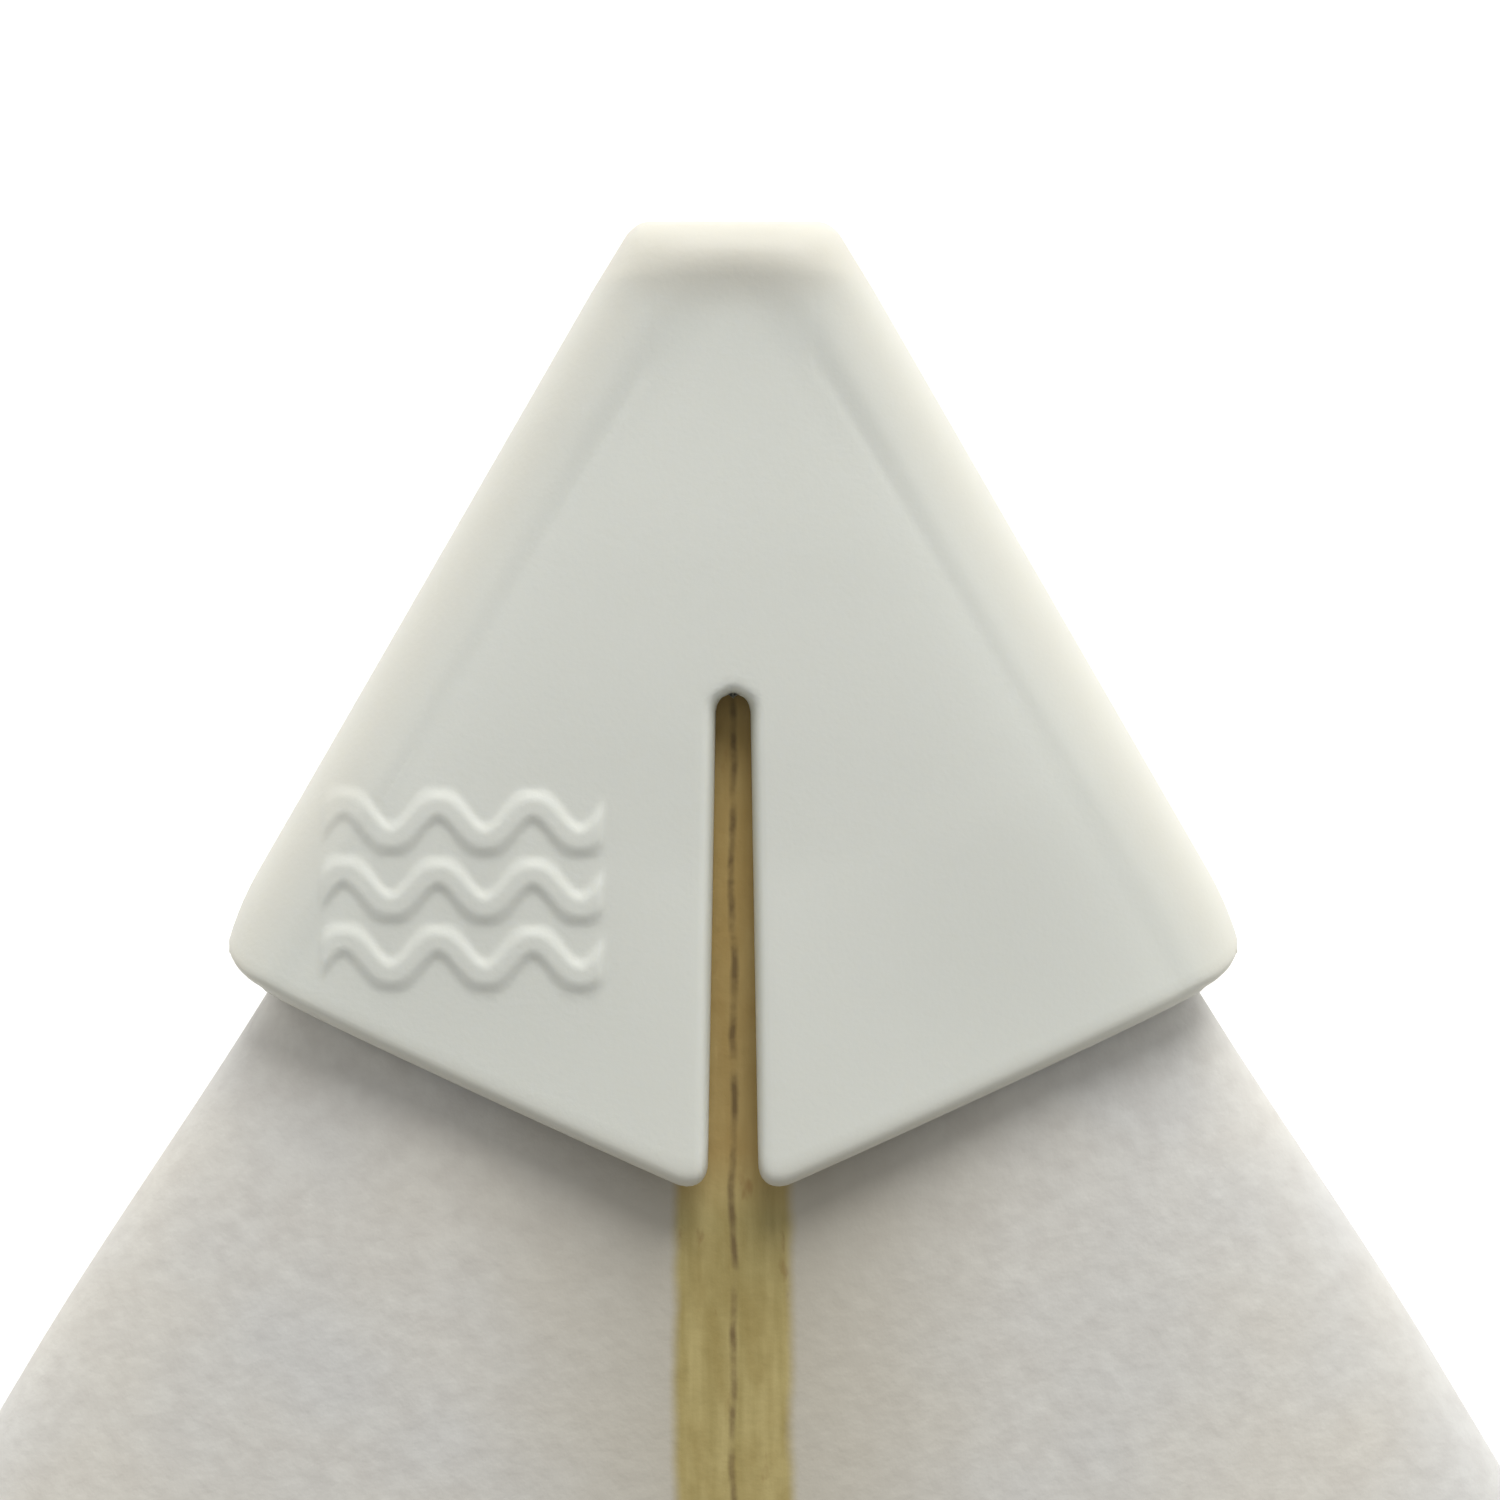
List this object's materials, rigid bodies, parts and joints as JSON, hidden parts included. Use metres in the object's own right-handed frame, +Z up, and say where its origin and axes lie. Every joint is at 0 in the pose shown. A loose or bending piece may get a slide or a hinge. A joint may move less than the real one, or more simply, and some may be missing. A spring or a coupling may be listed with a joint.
{
  "type": "surfboard",
  "caption": "Short surfboard with a pointed nose and squash tail, a wood stringer, a glued-on silicone nose guard, removable fins in screw plugs and a leash plug.",
  "frame": {"origin": "middle of the footprint, on the ground that the two side fin tips and the belly stand on", "axes": "+Y from the tail to the nose, +Z up out of the deck, +X to the right seen from above with the nose ahead"},
  "size_m": [0.5014, 1.8308, 0.1942],
  "materials": {
    "foam": "white polyurethane foam, fine closed cells",
    "wood": "thin raw basswood plies seen on edge",
    "glue": "thin dark line of wood glue between the plies",
    "laminate": "fibreglass and resin, sanded matt, white foam showing through",
    "silicone": "soft off-white silicone, satin",
    "adhesive": "pale double-sided foam tape",
    "fin": "off-white moulded glass-filled nylon, satin",
    "plug": "white moulded plastic, sanded flush",
    "steel": "plain stainless steel"
  },
  "bodies": {
    "board": {"foam_core_left": "foam", "foam_core_right": "foam", "stringer_ply_left": "wood", "stringer_ply_right": "wood", "stringer_glue_line": "glue", "deck_laminate": "laminate", "bottom_laminate": "laminate", "nose_guard": "silicone", "nose_guard_adhesive": "adhesive", "leash_cup": "plug", "leash_bar": "steel", "fin_plug_left_front": "plug", "fin_plug_left_rear": "plug", "fin_plug_centre_front": "plug", "fin_plug_centre_rear": "plug", "fin_plug_right_front": "plug", "fin_plug_right_rear": "plug"},
    "fin_left": {"fin_left": "fin"},
    "fin_centre": {"fin_centre": "fin"},
    "fin_right": {"fin_right": "fin"},
    "fin_screw_left_front": {"fin_screw_left_front": "steel"},
    "fin_screw_left_rear": {"fin_screw_left_rear": "steel"},
    "fin_screw_centre_front": {"fin_screw_centre_front": "steel"},
    "fin_screw_centre_rear": {"fin_screw_centre_rear": "steel"},
    "fin_screw_right_front": {"fin_screw_right_front": "steel"},
    "fin_screw_right_rear": {"fin_screw_right_rear": "steel"}
  },
  "joints": [
    {"name": "fin_left_slide", "type": "slide", "parent": "board", "child": "fin_left", "axis": [-0.1177, -0.1926, -0.9742], "range_m": [0, 0.03]},
    {"name": "fin_centre_slide", "type": "slide", "parent": "board", "child": "fin_centre", "axis": [0, -0.2313, -0.9729], "range_m": [0, 0.03]},
    {"name": "fin_right_slide", "type": "slide", "parent": "board", "child": "fin_right", "axis": [0.1177, -0.1926, -0.9742], "range_m": [0, 0.03]},
    {"name": "fin_screw_left_front_turn", "type": "hinge", "parent": "board", "child": "fin_screw_left_front", "pos_m": [-0.1412, -0.55662, 0.10551], "axis": [0.618, -0.1887, -0.7632], "range_deg": [0, 720]},
    {"name": "fin_screw_left_rear_turn", "type": "hinge", "parent": "board", "child": "fin_screw_left_rear", "pos_m": [-0.14391, -0.6075, 0.1159], "axis": [0.618, -0.1887, -0.7632], "range_deg": [0, 720]},
    {"name": "fin_screw_centre_front_turn", "type": "hinge", "parent": "board", "child": "fin_screw_centre_front", "pos_m": [0.0025, -0.74398, 0.14557], "axis": [0.7071, -0.1636, -0.6879], "range_deg": [0, 720]},
    {"name": "fin_screw_centre_rear_turn", "type": "hinge", "parent": "board", "child": "fin_screw_centre_rear", "pos_m": [0.0025, -0.79457, 0.1576], "axis": [0.7071, -0.1636, -0.6879], "range_deg": [0, 720]},
    {"name": "fin_screw_right_front_turn", "type": "hinge", "parent": "board", "child": "fin_screw_right_front", "pos_m": [0.1412, -0.55662, 0.10551], "axis": [-0.618, -0.1887, -0.7632], "range_deg": [0, 720]},
    {"name": "fin_screw_right_rear_turn", "type": "hinge", "parent": "board", "child": "fin_screw_right_rear", "pos_m": [0.14391, -0.6075, 0.1159], "axis": [-0.618, -0.1887, -0.7632], "range_deg": [0, 720]}
  ]
}
